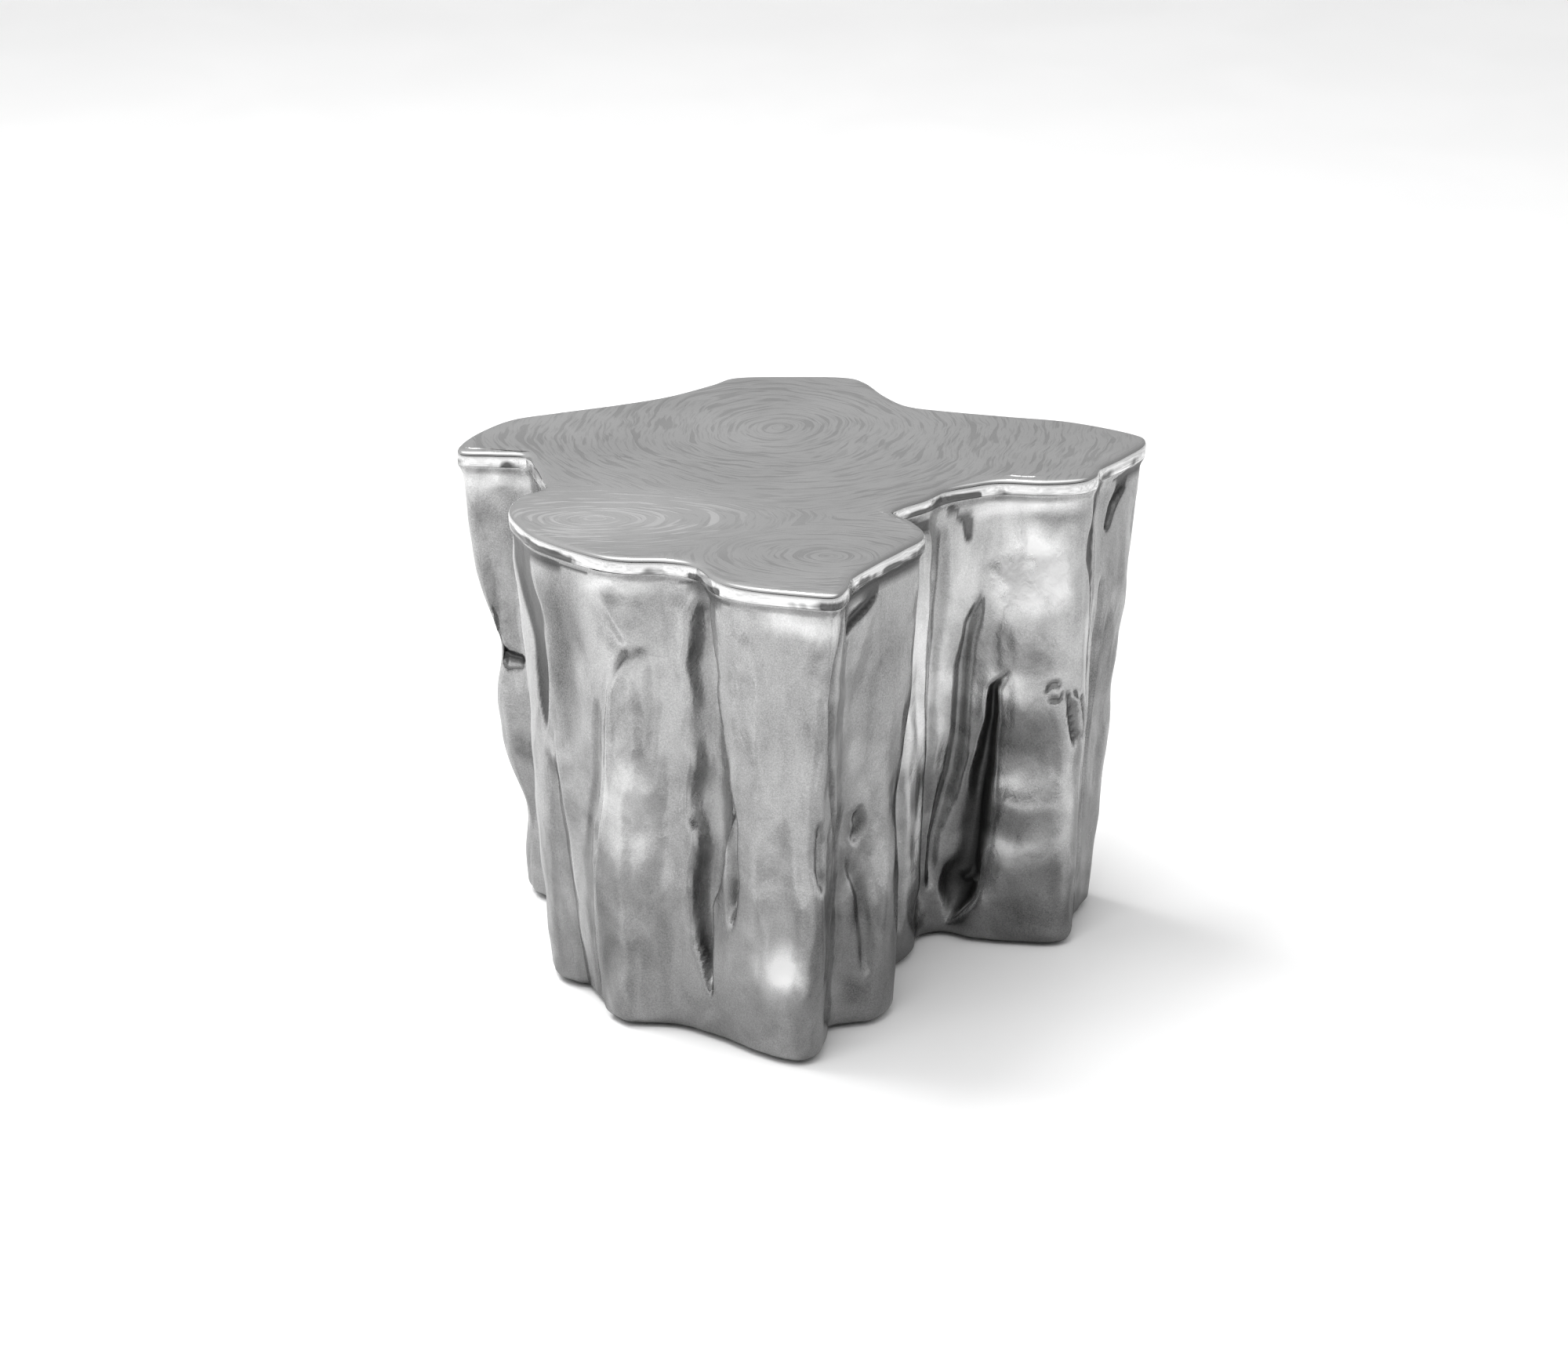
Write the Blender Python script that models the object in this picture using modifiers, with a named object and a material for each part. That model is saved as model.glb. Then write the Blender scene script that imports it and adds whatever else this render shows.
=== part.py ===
"""Cast-metal side table in the shape of a tree stump.

A hollow bark-shaped wall carries a slab top with a rounded lip.  Blocks welded inside the wall hold a
plywood base board, and levelling feet screw up into the board, one in each root of the stump.

Metres, +Z up.  The origin is on the floor, under the middle of the table's outline.  The front root
points along -Y.
"""

import math

import bmesh
import bpy
from mathutils import Vector

MM = 0.001

# Driving dimensions
TABLE_HEIGHT = 450 * MM
WALL_BOTTOM = 3 * MM  # shadow gap between the wall and the floor
WALL_THICKNESS = 5.5 * MM
TOP_THICKNESS = 16 * MM
LIP_RADIUS = 7 * MM
LIP_OVERHANG = 3 * MM  # how far the top stands out past the wall under it
FIT_GAP = 0.3 * MM  # between pieces that touch

COLUMNS = 120  # points round the wall and the top
WALL_HEIGHTS = (0, 0.05, 0.16, 0.3, 0.44, 0.58, 0.72, 0.86, 0.95, 1)  # share of the wall's height
ROUND_STEPS = 16  # sides of a turned piece

# Levelling feet, from the floor up
PAD_RADIUS = 19 * MM
PAD_HEIGHT = 7 * MM
SOCKET_RADIUS = 6.5 * MM
BALL_RADIUS = 6 * MM
BALL_BOTTOM = 2.5 * MM
HEX_ACROSS_FLATS = 13 * MM
HEX_BOTTOM = 7.4 * MM
HEX_HEIGHT = 4.3 * MM
STUD_RADIUS = 4 * MM  # M8
STUD_TOP = 42 * MM
NUT_BORE_RADIUS = 4.3 * MM
NUT_BARREL_RADIUS = 5.2 * MM
NUT_BARREL_LENGTH = 12 * MM
NUT_FLANGE_RADIUS = 11 * MM
NUT_FLANGE_HEIGHT = 1.5 * MM

# Base board and what holds it
BOARD_BOTTOM = 14 * MM
BOARD_THICKNESS = 15 * MM
BOARD_CLEARANCE = 3 * MM
BLOCK_WIDTH = 28 * MM
BLOCK_HEIGHT = 22 * MM
BLOCK_DEPTH = 12 * MM  # from the screw's axis towards the middle of the table
SCREW_SETBACK = 15 * MM  # from the wall's inner face to the screw's axis
SCREW_RADIUS = 3 * MM  # M6
SCREW_REACH = 14 * MM  # into the block
SCREW_HEAD_RADIUS = 5 * MM
SCREW_HEAD_HEIGHT = 3.3 * MM
SCREW_SOCKET_ACROSS_FLATS = 4 * MM
SCREW_SOCKET_DEPTH = 2 * MM
WASHER_RADIUS = 9 * MM
WASHER_THICKNESS = 1.6 * MM
SCREW_HOLE_RADIUS = 3.4 * MM

# The stump's outline in millimetres, once round from the far right root: the place of each ridge and
# groove at the top of the table, and where it stands at the floor.
OUTLINE = (
    ("right_root_tip", (312, 92), (270, 84)),
    ("right_root_shoulder", (298, 116), (262, 110)),
    ("right_root_back", (246, 149), (222, 140)),
    ("right_back_flank", (190, 165), (176, 153)),
    ("right_back_hollow", (132, 182), (122, 169)),
    ("back_groove_right", (100, 196), (92, 182)),
    ("back_root_flank", (80, 226), (74, 206)),
    ("back_root_corner", (62, 268), (56, 244)),
    ("back_root_tip_right", (42, 285), (38, 259)),
    ("back_root_tip", (-8, 288), (-8, 262)),
    ("back_root_tip_left", (-60, 284), (-56, 258)),
    ("back_root_left", (-84, 260), (-78, 236)),
    ("back_groove_left", (-123, 225), (-113, 203)),
    ("left_back_flank", (-168, 200), (-153, 184)),
    ("left_back_shoulder", (-222, 176), (-200, 167)),
    ("left_root_back", (-262, 156), (-230, 154)),
    ("left_root_side", (-288, 122), (-246, 134)),
    ("left_root_edge", (-304, 86), (-251, 114)),
    ("left_root_tip", (-304, 63), (-246, 98)),
    ("left_root_front", (-274, 59), (-238, 86)),
    ("left_root_inner", (-246, 54), (-224, 70)),
    ("left_groove_back", (-236, 26), (-208, 36)),
    ("left_groove", (-228, -10), (-198, 4)),
    ("left_groove_front", (-224, -42), (-198, -28)),
    ("left_front_corner", (-244, -64), (-216, -54)),
    ("left_front_side", (-252, -96), (-224, -78)),
    ("left_front_edge", (-244, -130), (-218, -100)),
    ("left_front_face", (-223, -170), (-190, -128)),
    ("left_front_cheek", (-178, -213), (-157, -186)),
    ("left_front_tip", (-150, -227), (-140, -196)),
    ("left_front_nose", (-112, -230), (-112, -202)),
    ("front_hollow", (-88, -243), (-88, -217)),
    ("front_hollow_side", (-70, -279), (-60, -239)),
    ("front_root_left", (-44, -299), (-36, -261)),
    ("front_root_tip", (0, -313), (-4, -279)),
    ("front_root_nose", (29, -318), (17, -267)),
    ("front_root_corner", (40, -300), (26, -236)),
    ("front_crease", (46, -270), (29, -208)),
    ("front_right_face", (68, -231), (48, -200)),
    ("front_right_cheek", (90, -197), (68, -194)),
    ("front_right_tip", (107, -166), (83, -170)),
    ("front_right_back", (98, -134), (83, -138)),
    ("deep_groove", (81, -108), (70, -108)),
    ("deep_groove_side", (90, -88), (86, -80)),
    ("inner_rib", (112, -66), (105, -46)),
    ("inner_rib_back", (128, -44), (112, -12)),
    ("right_notch", (153, -28), (130, 0)),
    ("right_front_edge", (178, -18), (156, -14)),
    ("right_front_face", (214, -22), (200, -24)),
    ("right_front_cheek", (246, -17), (235, -21)),
    ("right_front_corner", (262, -3), (250, -4)),
    ("right_crease", (269, 20), (254, 28)),
    ("right_side_face", (292, 54), (261, 56)),
)

# Swellings and hollows of the bark: the ridge it sits by, share of the wall's height, how far it stands
# out in millimetres, and its half-width round the wall and half-height in millimetres.
BARK_SWELLINGS = (
    ("left_root_edge", 0.60, -9, 55, 45),
    ("left_root_edge", 0.20, -8, 60, 40),
    ("left_front_edge", 0.80, -4, 40, 60),
    ("left_front_tip", 0.85, 5, 45, 60),
    ("front_root_left", 0.35, 4, 40, 80),
    ("front_root_nose", 0.60, -6, 30, 90),
    ("front_right_tip", 0.45, -9, 30, 90),
    ("front_right_cheek", 0.30, 6, 35, 60),
    ("right_front_face", 0.72, 5, 60, 50),
    ("right_front_face", 0.42, -4, 60, 45),
    ("right_notch", 0.25, -10, 35, 90),
    ("right_side_face", 0.72, 4, 40, 50),
    ("back_root_tip", 0.50, -5, 60, 90),
    ("right_back_flank", 0.40, 6, 60, 90),
    ("left_back_flank", 0.60, 6, 60, 80),
)

# Where the feet stand, in the outline's millimetres, and the ridges or grooves that the blocks sit behind
FEET = {
    "front": (-14, -222),
    "left_front": (-172, -92),
    "left": (-200, 118),
    "back": (-8, 216),
    "right": (214, 56),
}
BLOCKS = {
    "front": "front_hollow",
    "left": "left_groove",
    "back_left": "back_groove_left",
    "back_right": "back_groove_right",
    "front_right": "deep_groove",
}

MATERIALS = {  # base colour, metallic, roughness
    "polished_cast_aluminium": ((0.76, 0.76, 0.77), 1.0, 0.26),
    "satin_cast_aluminium": ((0.66, 0.66, 0.67), 1.0, 0.42),
    "raw_aluminium": ((0.58, 0.58, 0.58), 1.0, 0.55),
    "black_plywood": ((0.03, 0.03, 0.03), 0.0, 0.75),
    "zinc_steel": ((0.62, 0.63, 0.64), 1.0, 0.35),
    "black_nylon": ((0.02, 0.02, 0.02), 0.0, 0.55),
}


# Outline and wall surface


def smooth_point(points, position):
    """A point on the closed curve through the points; position 2.5 is half way from the third to the fourth."""
    count = len(points)
    index = int(math.floor(position))
    u = position - index
    before, start, end, after = (points[(index + k) % count] for k in (-1, 0, 1, 2))
    return (
        start * (2 - 5 * u * u + 3 * u**3)
        + end * (u + 4 * u * u - 3 * u**3)
        + before * (-u + 2 * u * u - u**3)
        + after * (u**3 - u * u)
    ) / 2


def even_positions(points, count):
    """Positions along the closed curve, the same distance apart."""
    samples = 40 * len(points)
    run = [0.0]
    last = smooth_point(points, 0)
    for k in range(1, samples + 1):
        here = smooth_point(points, k * len(points) / samples)
        run.append(run[-1] + (here - last).length)
        last = here
    positions = []
    k = 0
    for column in range(count):
        wanted = run[-1] * column / count
        while run[k + 1] < wanted:
            k += 1
        positions.append((k + (wanted - run[k]) / (run[k + 1] - run[k])) * len(points) / samples)
    return positions


def middle_of(points):
    return Vector(
        (
            (max(p.x for p in points) + min(p.x for p in points)) / 2,
            (max(p.y for p in points) + min(p.y for p in points)) / 2,
        )
    )


NAMES = [name for name, _, _ in OUTLINE]
TOP_RIDGES = [Vector(top) * MM for _, top, _ in OUTLINE]
FLOOR_RIDGES = [Vector(floor) * MM for _, _, floor in OUTLINE]
POSITIONS = even_positions(TOP_RIDGES, COLUMNS)
CENTRE = middle_of([smooth_point(TOP_RIDGES, position) for position in POSITIONS])
WALL_TOP = TABLE_HEIGHT - TOP_THICKNESS - FIT_GAP


def outline_at(share):
    """The outline at a share of the table's height, with the origin under its middle."""
    return [
        smooth_point(FLOOR_RIDGES, position).lerp(smooth_point(TOP_RIDGES, position), share) - CENTRE
        for position in POSITIONS
    ]


def outward(points):
    """The outward direction at each point of a closed outline that runs anticlockwise."""
    count = len(points)
    directions = []
    for k in range(count):
        along = points[(k + 1) % count] - points[k - 1]
        directions.append(Vector((along.y, -along.x)).normalized())
    return directions


def offset(points, distance):
    """The outline moved outwards by a distance, or inwards by a negative one."""
    return [p + n * distance for p, n in zip(points, outward(points))]


def bark(position, share):
    """How far the bark stands out from the plain wall at a place on it."""
    out = 0.0
    for ridge, height, amount, half_width, half_height in BARK_SWELLINGS:
        index = NAMES.index(ridge)
        centre = smooth_point(TOP_RIDGES, index)
        across = (smooth_point(TOP_RIDGES, position) - centre).length / (half_width * MM)
        up = (share - height) * TABLE_HEIGHT / (half_height * MM)
        out += amount * MM * math.exp(-across * across - up * up)
    return out


def wall_outline(share):
    """The wall's outer outline at a share of its height: the stump's outline, inside the lip, with its bark."""
    plain = outline_at(share)
    lip_side = offset(plain, -LIP_OVERHANG)
    fade = min(1.0, 6 * (1 - share))  # the bark runs out to nothing under the lip
    moved = [bark(position, share) * fade for position in POSITIONS]
    return [p + n * m for p, n, m in zip(lip_side, outward(lip_side), moved)]


def inner_outline(height, clearance):
    """An outline inside the wall at a height, a clearance away from its inner face."""
    share = (height - WALL_BOTTOM) / (WALL_TOP - WALL_BOTTOM)
    return offset(wall_outline(share), -WALL_THICKNESS - clearance)


# Blender helpers


def clear_scene():
    for obj in list(bpy.data.objects):
        bpy.data.objects.remove(obj)


def new_collection(name):
    collection = bpy.data.collections.new(name)
    bpy.context.scene.collection.children.link(collection)
    return collection


def make_materials():
    made = {}
    for name, (colour, metallic, roughness) in MATERIALS.items():
        material = bpy.data.materials.new(name)
        material.use_nodes = True
        shader = material.node_tree.nodes["Principled BSDF"]
        shader.inputs["Base Color"].default_value = (*colour, 1)
        shader.inputs["Metallic"].default_value = metallic
        shader.inputs["Roughness"].default_value = roughness
        made[name] = material
    return made


def add_object(name, mesh, collection, material=None):
    obj = bpy.data.objects.new(name, mesh)
    collection.objects.link(obj)
    if material and not mesh.materials:
        mesh.materials.append(material)
    return obj


def mesh_from(bm, name):
    mesh = bpy.data.meshes.new(name)
    bm.to_mesh(mesh)
    bm.free()
    return mesh


def finished_mesh(obj, crease_degrees=35):
    """The object's mesh with its modifiers carried out, shaded smooth up to the crease angle."""
    bpy.context.view_layer.update()
    graph = bpy.context.evaluated_depsgraph_get()
    mesh = bpy.data.meshes.new_from_object(obj.evaluated_get(graph))
    mesh.shade_smooth()
    mesh.set_sharp_from_angle(angle=math.radians(crease_degrees))
    return mesh


def turned_mesh(name, profile, helpers, closed=False):
    """A mesh turned about Z from (radius, height) points that run down its outer side."""
    edges = [(k, k + 1) for k in range(len(profile) - 1)]
    if closed:
        edges.append((len(profile) - 1, 0))
    line = bpy.data.meshes.new(name)
    line.from_pydata([(radius, 0, height) for radius, height in profile], edges, [])
    obj = add_object(name + "_profile", line, helpers)
    screw = obj.modifiers.new("turn", "SCREW")
    screw.axis = "Z"
    screw.steps = ROUND_STEPS
    screw.render_steps = ROUND_STEPS
    screw.use_merge_vertices = True
    screw.merge_threshold = 0.00001
    mesh = finished_mesh(obj)
    bpy.data.objects.remove(obj)
    return mesh


def prism(name, sides, across_flats, bottom, height, helpers):
    """A helper prism with that many sides, upright on the Z axis."""
    bm = bmesh.new()
    corner_radius = across_flats / 2 / math.cos(math.pi / sides)
    bmesh.ops.create_cone(
        bm, cap_ends=True, segments=sides, radius1=corner_radius, radius2=corner_radius, depth=height
    )
    bmesh.ops.translate(bm, verts=bm.verts, vec=(0, 0, bottom + height / 2))
    return as_helper(add_object(name, mesh_from(bm, name), helpers))


def as_helper(obj):
    obj.hide_render = True
    obj.display_type = "WIRE"
    return obj


def boolean(obj, other, operation):
    modifier = obj.modifiers.new(operation.lower(), "BOOLEAN")
    modifier.operation = operation
    modifier.object = other
    modifier.solver = "EXACT"


def combined_mesh(name, mesh, other, operation, helpers):
    """The mesh of one shape cut by, or joined to, a helper object."""
    obj = add_object(name, mesh, helpers)
    boolean(obj, other, operation)
    result = finished_mesh(obj)
    bpy.data.objects.remove(obj)
    return result


def loft_surface(bm, outlines, heights):
    """Quads between outlines of the same number of points; returns the vertex rings."""
    rings = [[bm.verts.new((p.x, p.y, z)) for p in points] for points, z in zip(outlines, heights)]
    for low, high in zip(rings, rings[1:]):
        for k in range(len(low)):
            after = (k + 1) % len(low)
            bm.faces.new((low[k], low[after], high[after], high[k]))
    return rings


def slab_mesh(name, points, bottom, top):
    """A flat slab with this outline."""
    bm = bmesh.new()
    low, high = loft_surface(bm, (points, points), (bottom, top))
    bm.faces.new(low[::-1])
    bm.faces.new(high)
    return mesh_from(bm, name)


# The pieces


def make_wall(parts, materials):
    """The hollow cast wall: an outer skin of bark, a smoother inner skin, and a flat rim at each end."""
    heights = [WALL_BOTTOM + share * (WALL_TOP - WALL_BOTTOM) for share in WALL_HEIGHTS]
    bm = bmesh.new()
    outer = loft_surface(bm, [wall_outline(share) for share in WALL_HEIGHTS], heights)
    inner = loft_surface(bm, [inner_outline(z, 0) for z in heights], heights)
    for face in [face for face in bm.faces if face.verts[0] in set(sum(inner, []))]:
        face.normal_flip()
    for k in range(COLUMNS):
        after = (k + 1) % COLUMNS
        bm.faces.new((outer[0][k], inner[0][k], inner[0][after], outer[0][after]))
        bm.faces.new((outer[-1][k], outer[-1][after], inner[-1][after], inner[-1][k]))
    mesh = mesh_from(bm, "bark_wall")
    mesh.shade_smooth()
    mesh.set_sharp_from_angle(angle=math.radians(50))
    add_object("bark_wall", mesh, parts, materials["polished_cast_aluminium"])


def make_top(parts, materials):
    """The slab top, with a rounded lip all round."""
    mesh = slab_mesh("top_slab", outline_at(1), TABLE_HEIGHT - TOP_THICKNESS, TABLE_HEIGHT)
    top = add_object("top_slab", mesh, parts, materials["satin_cast_aluminium"])
    lip = top.modifiers.new("lip", "BEVEL")
    lip.width = LIP_RADIUS
    lip.segments = 2
    lip.limit_method = "ANGLE"
    lip.angle_limit = math.radians(60)
    lip.use_clamp_overlap = False


def block_places():
    """For each block, the screw's axis on the floor plan and the outward direction there."""
    height = BOARD_BOTTOM + BOARD_THICKNESS
    inner = inner_outline(height, 0)
    directions = outward(inner)
    places = {}
    for name, ridge in BLOCKS.items():
        wanted = NAMES.index(ridge)
        column = min(range(COLUMNS), key=lambda k: abs(POSITIONS[k] - wanted))
        places[name] = (inner[column] - directions[column] * SCREW_SETBACK, directions[column])
    return places


def make_wall_core(helpers):
    """A helper that fills the wall's inside, just clear of it, and trims what is welded there."""
    heights = [WALL_BOTTOM + share * (WALL_TOP - WALL_BOTTOM) for share in WALL_HEIGHTS]
    bm = bmesh.new()
    rings = loft_surface(bm, [inner_outline(z, 2 * FIT_GAP) for z in heights], heights)
    bm.faces.new(rings[0][::-1])
    bm.faces.new(rings[-1])
    return as_helper(add_object("wall_core", mesh_from(bm, "wall_core"), helpers))


def make_blocks(parts, helpers, materials, core):
    """The tapped blocks, each welded to the wall's inside behind a groove."""
    bottom = BOARD_BOTTOM + BOARD_THICKNESS + FIT_GAP
    for name, (axis, direction) in block_places().items():
        reach = SCREW_SETBACK + WALL_THICKNESS
        bm = bmesh.new()
        bmesh.ops.create_cube(bm, size=1)
        bmesh.ops.scale(bm, verts=bm.verts, vec=(reach + BLOCK_DEPTH, BLOCK_WIDTH, BLOCK_HEIGHT))
        bmesh.ops.translate(bm, verts=bm.verts, vec=((reach - BLOCK_DEPTH) / 2, 0, BLOCK_HEIGHT / 2))
        label = "base_block_" + name
        block = add_object(label, mesh_from(bm, label), parts, materials["raw_aluminium"])
        block.location = (axis.x, axis.y, bottom)
        block.rotation_euler.z = math.atan2(direction.y, direction.x)
        boolean(block, core, "INTERSECT")
        hole_depth = SCREW_REACH + 2 * MM
        hole = prism(
            label + "_hole", ROUND_STEPS, 2 * SCREW_RADIUS + 2 * FIT_GAP, -1 * MM, hole_depth + 1 * MM, helpers
        )
        hole.location = block.location
        boolean(block, hole, "DIFFERENCE")


def make_board(parts, helpers, materials):
    """The plywood board that closes the base, bored for the screws and the feet's nuts."""
    points = inner_outline(BOARD_BOTTOM, BOARD_CLEARANCE)
    mesh = slab_mesh("base_board", points, BOARD_BOTTOM, BOARD_BOTTOM + BOARD_THICKNESS)
    board = add_object("base_board", mesh, parts, materials["black_plywood"])
    bores = [(place, NUT_BARREL_RADIUS + FIT_GAP) for place in foot_places().values()]
    bores += [(axis, SCREW_HOLE_RADIUS) for axis, _ in block_places().values()]
    for k, (place, radius) in enumerate(bores):
        cutter = prism(
            f"board_bore_{k}",
            ROUND_STEPS,
            2 * radius,
            BOARD_BOTTOM - 1 * MM,
            BOARD_THICKNESS + 2 * MM,
            helpers,
        )
        cutter.location = (place.x, place.y, 0)
        boolean(board, cutter, "DIFFERENCE")


def foot_places():
    return {name: Vector(place) * MM - CENTRE for name, place in FEET.items()}


def make_screws(parts, helpers, materials):
    """Socket-head screws and washers that hold the board up against the blocks."""
    washer_top = BOARD_BOTTOM - FIT_GAP
    washer_bottom = washer_top - WASHER_THICKNESS
    washer = turned_mesh(
        "washer",
        (
            (WASHER_RADIUS, washer_top),
            (WASHER_RADIUS, washer_bottom),
            (SCREW_HOLE_RADIUS, washer_bottom),
            (SCREW_HOLE_RADIUS, washer_top),
        ),
        helpers,
        closed=True,
    )
    head_top = washer_bottom - FIT_GAP
    head_bottom = head_top - SCREW_HEAD_HEIGHT
    tip = BOARD_BOTTOM + BOARD_THICKNESS + SCREW_REACH
    shape = turned_mesh(
        "screw",
        (
            (0, tip),
            (SCREW_RADIUS - 0.6 * MM, tip),
            (SCREW_RADIUS, tip - 0.8 * MM),
            (SCREW_RADIUS, head_top),
            (SCREW_HEAD_RADIUS, head_top),
            (SCREW_HEAD_RADIUS, head_bottom + 1.2 * MM),
            (SCREW_HEAD_RADIUS - 1.6 * MM, head_bottom),
            (0, head_bottom),
        ),
        helpers,
    )
    socket = prism(
        "screw_socket",
        6,
        SCREW_SOCKET_ACROSS_FLATS,
        head_bottom - 1 * MM,
        SCREW_SOCKET_DEPTH + 1 * MM,
        helpers,
    )
    screw = combined_mesh("screw", shape, socket, "DIFFERENCE", helpers)
    for name, (axis, _) in block_places().items():
        for label, mesh in (("base_washer_", washer), ("base_screw_", screw)):
            obj = add_object(label + name, mesh, parts, materials["zinc_steel"])
            obj.location = (axis.x, axis.y, 0)


def foot_meshes(helpers):
    """The three pieces of a levelling foot, turned about the stud's axis, with the floor at zero."""
    flange_top = BOARD_BOTTOM - FIT_GAP
    flange_bottom = flange_top - NUT_FLANGE_HEIGHT
    nut = turned_mesh(
        "foot_nut",
        (
            (NUT_BARREL_RADIUS, flange_top + NUT_BARREL_LENGTH),
            (NUT_BARREL_RADIUS, flange_top),
            (NUT_FLANGE_RADIUS, flange_top),
            (NUT_FLANGE_RADIUS, flange_bottom),
            (NUT_BORE_RADIUS, flange_bottom),
            (NUT_BORE_RADIUS, flange_top + NUT_BARREL_LENGTH),
        ),
        helpers,
        closed=True,
    )
    neck_radius = STUD_RADIUS - 0.5 * MM
    ball_centre = BALL_BOTTOM + 2 * MM
    shape = turned_mesh(
        "foot_stud",
        (
            (0, STUD_TOP),
            (STUD_RADIUS - 0.8 * MM, STUD_TOP),
            (STUD_RADIUS, STUD_TOP - 1 * MM),
            (STUD_RADIUS, HEX_BOTTOM + HEX_HEIGHT / 2),
            (neck_radius, HEX_BOTTOM),
            (neck_radius, ball_centre + 2 * MM),
            (BALL_RADIUS, ball_centre + 0.8 * MM),
            (BALL_RADIUS, ball_centre - 0.8 * MM),
            (BALL_RADIUS - 1.6 * MM, BALL_BOTTOM),
            (0, BALL_BOTTOM),
        ),
        helpers,
    )
    hexagon = prism("stud_hexagon", 6, HEX_ACROSS_FLATS, HEX_BOTTOM, HEX_HEIGHT, helpers)
    stud = combined_mesh("foot_stud", shape, hexagon, "UNION", helpers)
    mouth_radius = neck_radius + 0.6 * MM
    pad = turned_mesh(
        "foot_pad",
        (
            (SOCKET_RADIUS + 4 * MM, PAD_HEIGHT),
            (SOCKET_RADIUS + 6 * MM, PAD_HEIGHT - 1 * MM),
            (PAD_RADIUS, 3 * MM),
            (PAD_RADIUS, 1 * MM),
            (PAD_RADIUS - 1 * MM, 0),
            (0, 0),
            (0, BALL_BOTTOM - FIT_GAP),
            (SOCKET_RADIUS - 1.4 * MM, BALL_BOTTOM - FIT_GAP),
            (SOCKET_RADIUS, ball_centre - 0.8 * MM),
            (SOCKET_RADIUS, ball_centre + 1 * MM),
            (mouth_radius, PAD_HEIGHT),
        ),
        helpers,
        closed=True,
    )
    return nut, stud, pad


def make_feet(parts, helpers, materials):
    """A nut in the board, a stud that screws up into it, and a pad that the stud's ball end turns in."""
    nut, stud, pad = foot_meshes(helpers)
    pieces = (
        ("foot_nut_", nut, "zinc_steel"),
        ("foot_stud_", stud, "zinc_steel"),
        ("foot_pad_", pad, "black_nylon"),
    )
    for name, place in foot_places().items():
        for label, mesh, material in pieces:
            obj = add_object(label + name, mesh, parts, materials[material])
            obj.location = (place.x, place.y, 0)


def main():
    clear_scene()
    parts = new_collection("stump_side_table")
    helpers = new_collection("helpers")
    materials = make_materials()
    make_wall(parts, materials)
    make_top(parts, materials)
    make_blocks(parts, helpers, materials, make_wall_core(helpers))
    make_board(parts, helpers, materials)
    make_screws(parts, helpers, materials)
    make_feet(parts, helpers, materials)


main()
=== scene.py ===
"""Looks for the cast-metal stump table: fine meshes of the bark and the top, metals and studio."""

import math

import bpy
import numpy as np
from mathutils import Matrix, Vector, noise


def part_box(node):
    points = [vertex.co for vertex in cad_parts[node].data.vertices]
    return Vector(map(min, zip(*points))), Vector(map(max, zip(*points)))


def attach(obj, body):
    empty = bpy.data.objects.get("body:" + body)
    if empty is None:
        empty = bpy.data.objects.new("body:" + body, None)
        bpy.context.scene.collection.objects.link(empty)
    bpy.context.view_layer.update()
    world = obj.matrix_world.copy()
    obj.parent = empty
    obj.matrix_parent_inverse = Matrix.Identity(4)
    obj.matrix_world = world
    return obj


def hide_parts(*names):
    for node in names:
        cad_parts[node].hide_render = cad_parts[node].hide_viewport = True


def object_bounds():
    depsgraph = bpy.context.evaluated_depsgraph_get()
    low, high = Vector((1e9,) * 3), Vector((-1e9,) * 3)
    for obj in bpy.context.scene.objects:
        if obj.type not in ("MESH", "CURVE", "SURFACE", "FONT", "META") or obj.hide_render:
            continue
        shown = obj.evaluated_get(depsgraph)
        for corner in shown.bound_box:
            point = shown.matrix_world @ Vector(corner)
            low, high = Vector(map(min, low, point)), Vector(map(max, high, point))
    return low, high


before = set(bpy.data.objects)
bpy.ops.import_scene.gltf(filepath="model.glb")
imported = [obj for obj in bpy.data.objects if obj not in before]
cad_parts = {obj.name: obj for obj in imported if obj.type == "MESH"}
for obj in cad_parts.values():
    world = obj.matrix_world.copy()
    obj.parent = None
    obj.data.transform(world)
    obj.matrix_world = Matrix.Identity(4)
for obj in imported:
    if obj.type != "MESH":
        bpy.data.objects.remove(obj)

MM = 0.001

CAD_BOX = [list(corner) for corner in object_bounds()]
TABLE_HEIGHT = CAD_BOX[1][2]
WALL_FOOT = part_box("bark_wall")[0].z
WALL_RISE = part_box("top_slab")[0].z - WALL_FOOT
LIP_OVERHANG = 3 * MM

COLUMNS = 900  # points round the wall and the top
WALL_ROWS = 130
TOP_RINGS = 120
SAMPLES_PER_RIDGE = 60  # for measuring round the outline

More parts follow.
